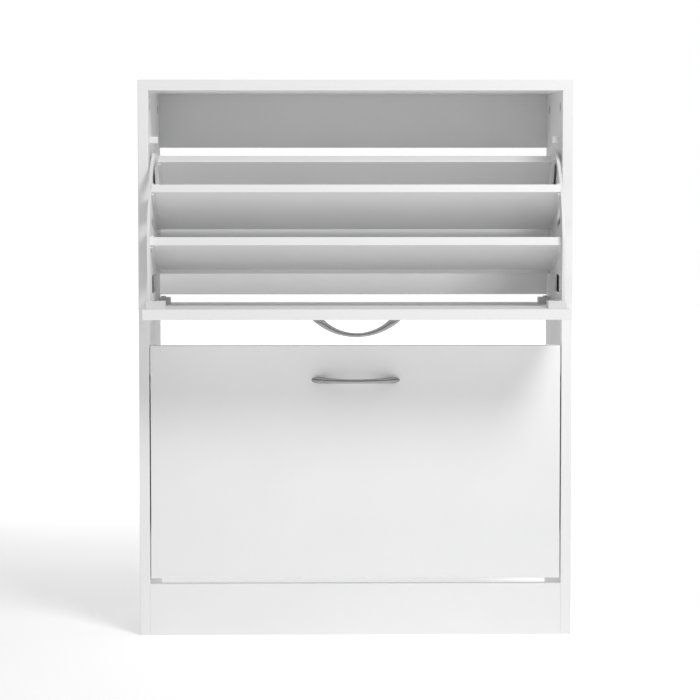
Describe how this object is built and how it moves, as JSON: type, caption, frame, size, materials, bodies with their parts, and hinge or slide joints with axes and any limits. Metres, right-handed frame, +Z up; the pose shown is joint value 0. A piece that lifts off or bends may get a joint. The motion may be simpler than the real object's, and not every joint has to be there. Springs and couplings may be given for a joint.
{
  "type": "shoe cabinet",
  "caption": "Slim white shoe cabinet with tilting flaps, each carrying a rack of shoe boards between moulded side frames, with bow handles and an open back.",
  "frame": {"origin": "on the floor, in the middle of the footprint with the upper flap open", "axes": "+X to the right seen from the front, -Y towards the user, +Z up"},
  "size_m": [0.63, 0.3887, 0.81],
  "materials": {
    "white_board": "satin white melamine",
    "white_plastic": "moulded, fine matt",
    "satin_nickel": "satin nickel",
    "steel": "zinc plated",
    "zinc": "die-cast zinc",
    "dowel_wood": "fluted beech"
  },
  "bodies": {
    "cabinet": {"left_side_panel": "white_board", "right_side_panel": "white_board", "top_panel": "white_board", "plinth_panel": "white_board", "back_rail_lower": "white_board", "back_rail_middle": "white_board", "back_rail_top": "white_board", "wooden_dowels": "dowel_wood", "cam_bolts": "steel", "cam_locks": "zinc", "upper_pivot_bushes": "white_plastic", "upper_stop_blocks": "white_plastic", "lower_pivot_bushes": "white_plastic", "lower_stop_blocks": "white_plastic"},
    "upper_flap": {"upper_flap_panel": "white_board", "upper_handle": "satin_nickel", "upper_handle_screws": "steel", "upper_rack_frame_left": "white_plastic", "upper_rack_frame_right": "white_plastic", "upper_rack_screws": "steel", "upper_pivot_pins": "steel", "upper_rack_board_front": "white_board", "upper_rack_board_middle": "white_board", "upper_rack_board_back": "white_board", "upper_rack_board_heel": "white_board"},
    "lower_flap": {"lower_flap_panel": "white_board", "lower_handle": "satin_nickel", "lower_handle_screws": "steel", "lower_rack_frame_left": "white_plastic", "lower_rack_frame_right": "white_plastic", "lower_rack_screws": "steel", "lower_pivot_pins": "steel", "lower_rack_board_front": "white_board", "lower_rack_board_middle": "white_board", "lower_rack_board_back": "white_board", "lower_rack_board_heel": "white_board"}
  },
  "joints": [
    {"name": "upper_flap_tilt", "type": "hinge", "parent": "cabinet", "child": "upper_flap", "pos_m": [0, 0.03636, 0.5465], "axis": [1, 0, 0], "range_deg": [-88, 0]},
    {"name": "lower_flap_tilt", "type": "hinge", "parent": "cabinet", "child": "lower_flap", "pos_m": [0, 0.03636, 0.1965], "axis": [1, 0, 0], "range_deg": [0, 88]}
  ]
}
